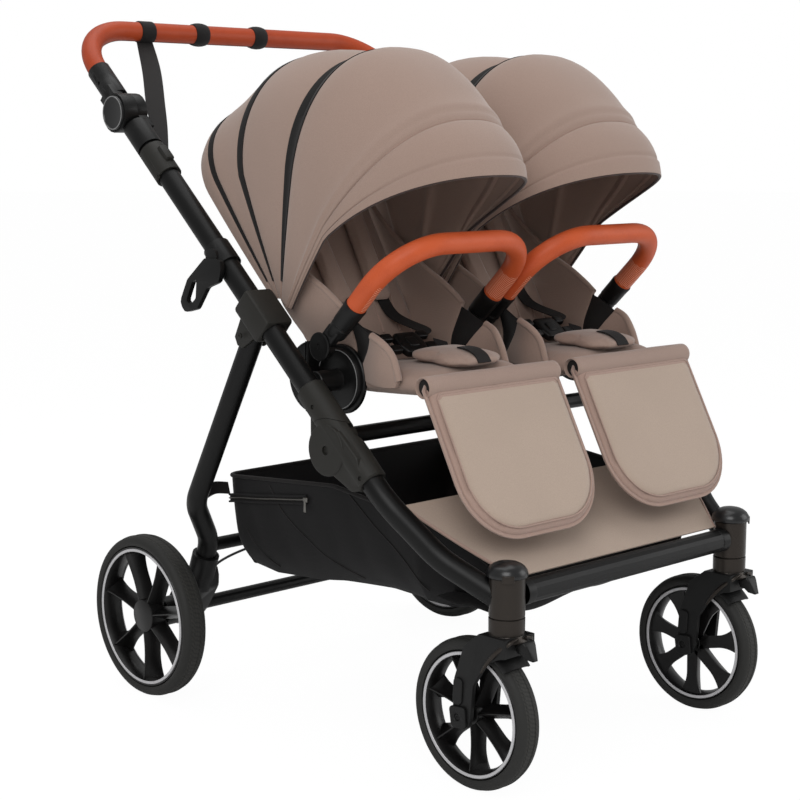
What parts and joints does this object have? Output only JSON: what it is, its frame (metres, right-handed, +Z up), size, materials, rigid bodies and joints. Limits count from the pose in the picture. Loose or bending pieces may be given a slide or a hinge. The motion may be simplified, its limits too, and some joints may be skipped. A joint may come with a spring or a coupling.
{
  "type": "double stroller",
  "caption": "Side-by-side double stroller with a folding tube frame, swivelling front wheels, separate seats with hoods and bumper bars, a shared handle and a basket.",
  "frame": {"origin": "on the floor under the centre of the bounding box", "axes": "+Z up, -Y the way the stroller faces, +X the pusher's left"},
  "size_m": [0.736, 0.9997, 1.1125],
  "materials": {
    "black_metal": "satin black paint",
    "dark_plastic": "fine grained dark grey",
    "rubber": "matte foam rubber",
    "leather": "smooth tan",
    "taupe_fabric": "plain weave, taupe",
    "pad_fabric": "plain weave, light taupe",
    "black_fabric": "plain weave, black",
    "red_plastic": "red brake pedal"
  },
  "bodies": {
    "frame": {"cup_holder_bracket": "dark_plastic", "seat_cross_tube": "black_metal", "basket": "black_fabric", "main_tube_r": "black_metal", "handle_joint_r": "dark_plastic", "tube_coupler_r": "dark_plastic", "rear_hinge_bracket_r": "dark_plastic", "lock_upper_r": "dark_plastic", "seat_hub_r": "dark_plastic", "seat_base_r": "taupe_fabric", "buckle_r": "dark_plastic", "main_tube_l": "black_metal", "handle_joint_l": "dark_plastic", "tube_coupler_l": "dark_plastic", "rear_hinge_bracket_l": "dark_plastic", "lock_upper_l": "dark_plastic", "seat_hub_l": "dark_plastic", "seat_base_l": "taupe_fabric", "buckle_l": "dark_plastic"},
    "handle": {"handle_bar": "black_metal", "handle_grip": "leather", "wrist_strap": "black_fabric"},
    "front_frame": {"front_cross_tube": "black_metal", "apron": "pad_fabric", "lower_tube_r": "black_metal", "lower_tube_l": "black_metal", "castor_head_r": "dark_plastic", "castor_head_l": "dark_plastic", "lock_lower_r": "dark_plastic", "lock_lower_l": "dark_plastic"},
    "rear_frame": {"rear_leg_frame": "black_metal", "rear_axle_tube": "black_metal", "brake_cable": "black_metal", "axle_bracket_r": "dark_plastic", "axle_bracket_l": "dark_plastic"},
    "brake_pedal": {"brake_pedal": "red_plastic"},
    "knob_r": {"knob_r": "dark_plastic"},
    "castor_r": {"fork_r": "dark_plastic"},
    "swivel_lock_r": {"swivel_lock_r": "dark_plastic"},
    "front_wheel_r": {"front_rim_r": "dark_plastic", "front_tyre_r": "rubber"},
    "rear_wheel_r": {"rear_rim_r": "dark_plastic", "rear_tyre_r": "rubber"},
    "backrest_r": {"backrest_r": "taupe_fabric", "canopy_rear_r": "taupe_fabric"},
    "canopy_front_r": {"canopy_front_r": "taupe_fabric"},
    "leg_rest_r": {"leg_rest_r": "pad_fabric"},
    "bumper_bar_r": {"bumper_bar_r": "leather"},
    "knob_l": {"knob_l": "dark_plastic"},
    "castor_l": {"fork_l": "dark_plastic"},
    "swivel_lock_l": {"swivel_lock_l": "dark_plastic"},
    "front_wheel_l": {"front_rim_l": "dark_plastic", "front_tyre_l": "rubber"},
    "rear_wheel_l": {"rear_rim_l": "dark_plastic", "rear_tyre_l": "rubber"},
    "backrest_l": {"backrest_l": "taupe_fabric", "canopy_rear_l": "taupe_fabric"},
    "canopy_front_l": {"canopy_front_l": "taupe_fabric"},
    "leg_rest_l": {"leg_rest_l": "pad_fabric"},
    "bumper_bar_l": {"bumper_bar_l": "leather"}
  },
  "joints": [
    {"name": "fold", "type": "hinge", "parent": "frame", "child": "front_frame", "pos_m": [0, -0.1839, 0.473], "axis": [1, 0, 0], "range_deg": [0, 100], "deforming": ["basket"]},
    {"name": "rear_fold", "type": "hinge", "parent": "frame", "child": "rear_frame", "pos_m": [0, 0.0131, 0.622], "axis": [1, 0, 0], "range_deg": [0, 88]},
    {"name": "handle_tilt", "type": "hinge", "parent": "frame", "child": "handle", "pos_m": [0, 0.32512, 0.95534], "axis": [1, 0, 0], "range_deg": [-60, 45], "deforming": ["wrist_strap"]},
    {"name": "brake", "type": "hinge", "parent": "rear_frame", "child": "brake_pedal", "pos_m": [0.272, 0.3251, 0.139], "axis": [-1, 0, 0], "range_deg": [0, 15]},
    {"name": "knob_r_press", "type": "slide", "parent": "handle", "child": "knob_r", "axis": [1, 0, 0], "range_m": [0, 0.0035], "stiffness_N_per_m": 300},
    {"name": "castor_r_swivel", "type": "hinge", "parent": "front_frame", "child": "castor_r", "pos_m": [-0.257, -0.4449, 0.262], "axis": [0, 0, 1], "continuous": true},
    {"name": "swivel_lock_r_lift", "type": "hinge", "parent": "castor_r", "child": "swivel_lock_r", "pos_m": [-0.257, -0.4782, 0.224], "axis": [-1, 0, 0], "range_deg": [0, 18]},
    {"name": "front_wheel_r_spin", "type": "hinge", "parent": "castor_r", "child": "front_wheel_r", "pos_m": [-0.257, -0.3869, 0.11], "axis": [1, 0, 0], "continuous": true},
    {"name": "rear_wheel_r_spin", "type": "hinge", "parent": "rear_frame", "child": "rear_wheel_r", "pos_m": [-0.347, 0.2801, 0.134], "axis": [1, 0, 0], "continuous": true},
    {"name": "backrest_r_recline", "type": "hinge", "parent": "frame", "child": "backrest_r", "pos_m": [-0.157, -0.0569, 0.585], "axis": [1, 0, 0], "range_deg": [-45, 0]},
    {"name": "canopy_r_open", "type": "hinge", "parent": "backrest_r", "child": "canopy_front_r", "pos_m": [-0.157, -0.0079, 0.674], "axis": [1, 0, 0], "range_deg": [-45, 0]},
    {"name": "leg_rest_r_raise", "type": "hinge", "parent": "frame", "child": "leg_rest_r", "pos_m": [-0.157, -0.3149, 0.57], "axis": [1, 0, 0], "range_deg": [-60, 0]},
    {"name": "bumper_r_turn", "type": "hinge", "parent": "frame", "child": "bumper_bar_r", "pos_m": [-0.157, -0.1179, 0.613], "axis": [1, 0, 0], "range_deg": [-10, 35]},
    {"name": "knob_l_press", "type": "slide", "parent": "handle", "child": "knob_l", "axis": [-1, 0, 0], "range_m": [0, 0.0035], "stiffness_N_per_m": 300},
    {"name": "castor_l_swivel", "type": "hinge", "parent": "front_frame", "child": "castor_l", "pos_m": [0.257, -0.4449, 0.262], "axis": [0, 0, 1], "continuous": true},
    {"name": "swivel_lock_l_lift", "type": "hinge", "parent": "castor_l", "child": "swivel_lock_l", "pos_m": [0.257, -0.4782, 0.224], "axis": [-1, 0, 0], "range_deg": [0, 18]},
    {"name": "front_wheel_l_spin", "type": "hinge", "parent": "castor_l", "child": "front_wheel_l", "pos_m": [0.257, -0.3869, 0.11], "axis": [1, 0, 0], "continuous": true},
    {"name": "rear_wheel_l_spin", "type": "hinge", "parent": "rear_frame", "child": "rear_wheel_l", "pos_m": [0.347, 0.2801, 0.134], "axis": [1, 0, 0], "continuous": true},
    {"name": "backrest_l_recline", "type": "hinge", "parent": "frame", "child": "backrest_l", "pos_m": [0.157, -0.0569, 0.585], "axis": [1, 0, 0], "range_deg": [-45, 0]},
    {"name": "canopy_l_open", "type": "hinge", "parent": "backrest_l", "child": "canopy_front_l", "pos_m": [0.157, -0.0079, 0.674], "axis": [1, 0, 0], "range_deg": [-45, 0]},
    {"name": "leg_rest_l_raise", "type": "hinge", "parent": "frame", "child": "leg_rest_l", "pos_m": [0.157, -0.3149, 0.57], "axis": [1, 0, 0], "range_deg": [-60, 0]},
    {"name": "bumper_l_turn", "type": "hinge", "parent": "frame", "child": "bumper_bar_l", "pos_m": [0.157, -0.1179, 0.613], "axis": [1, 0, 0], "range_deg": [-10, 35]}
  ],
  "couplings": [
    {"joint": "rear_fold", "follows": "fold", "ratio": 0.88}
  ]
}
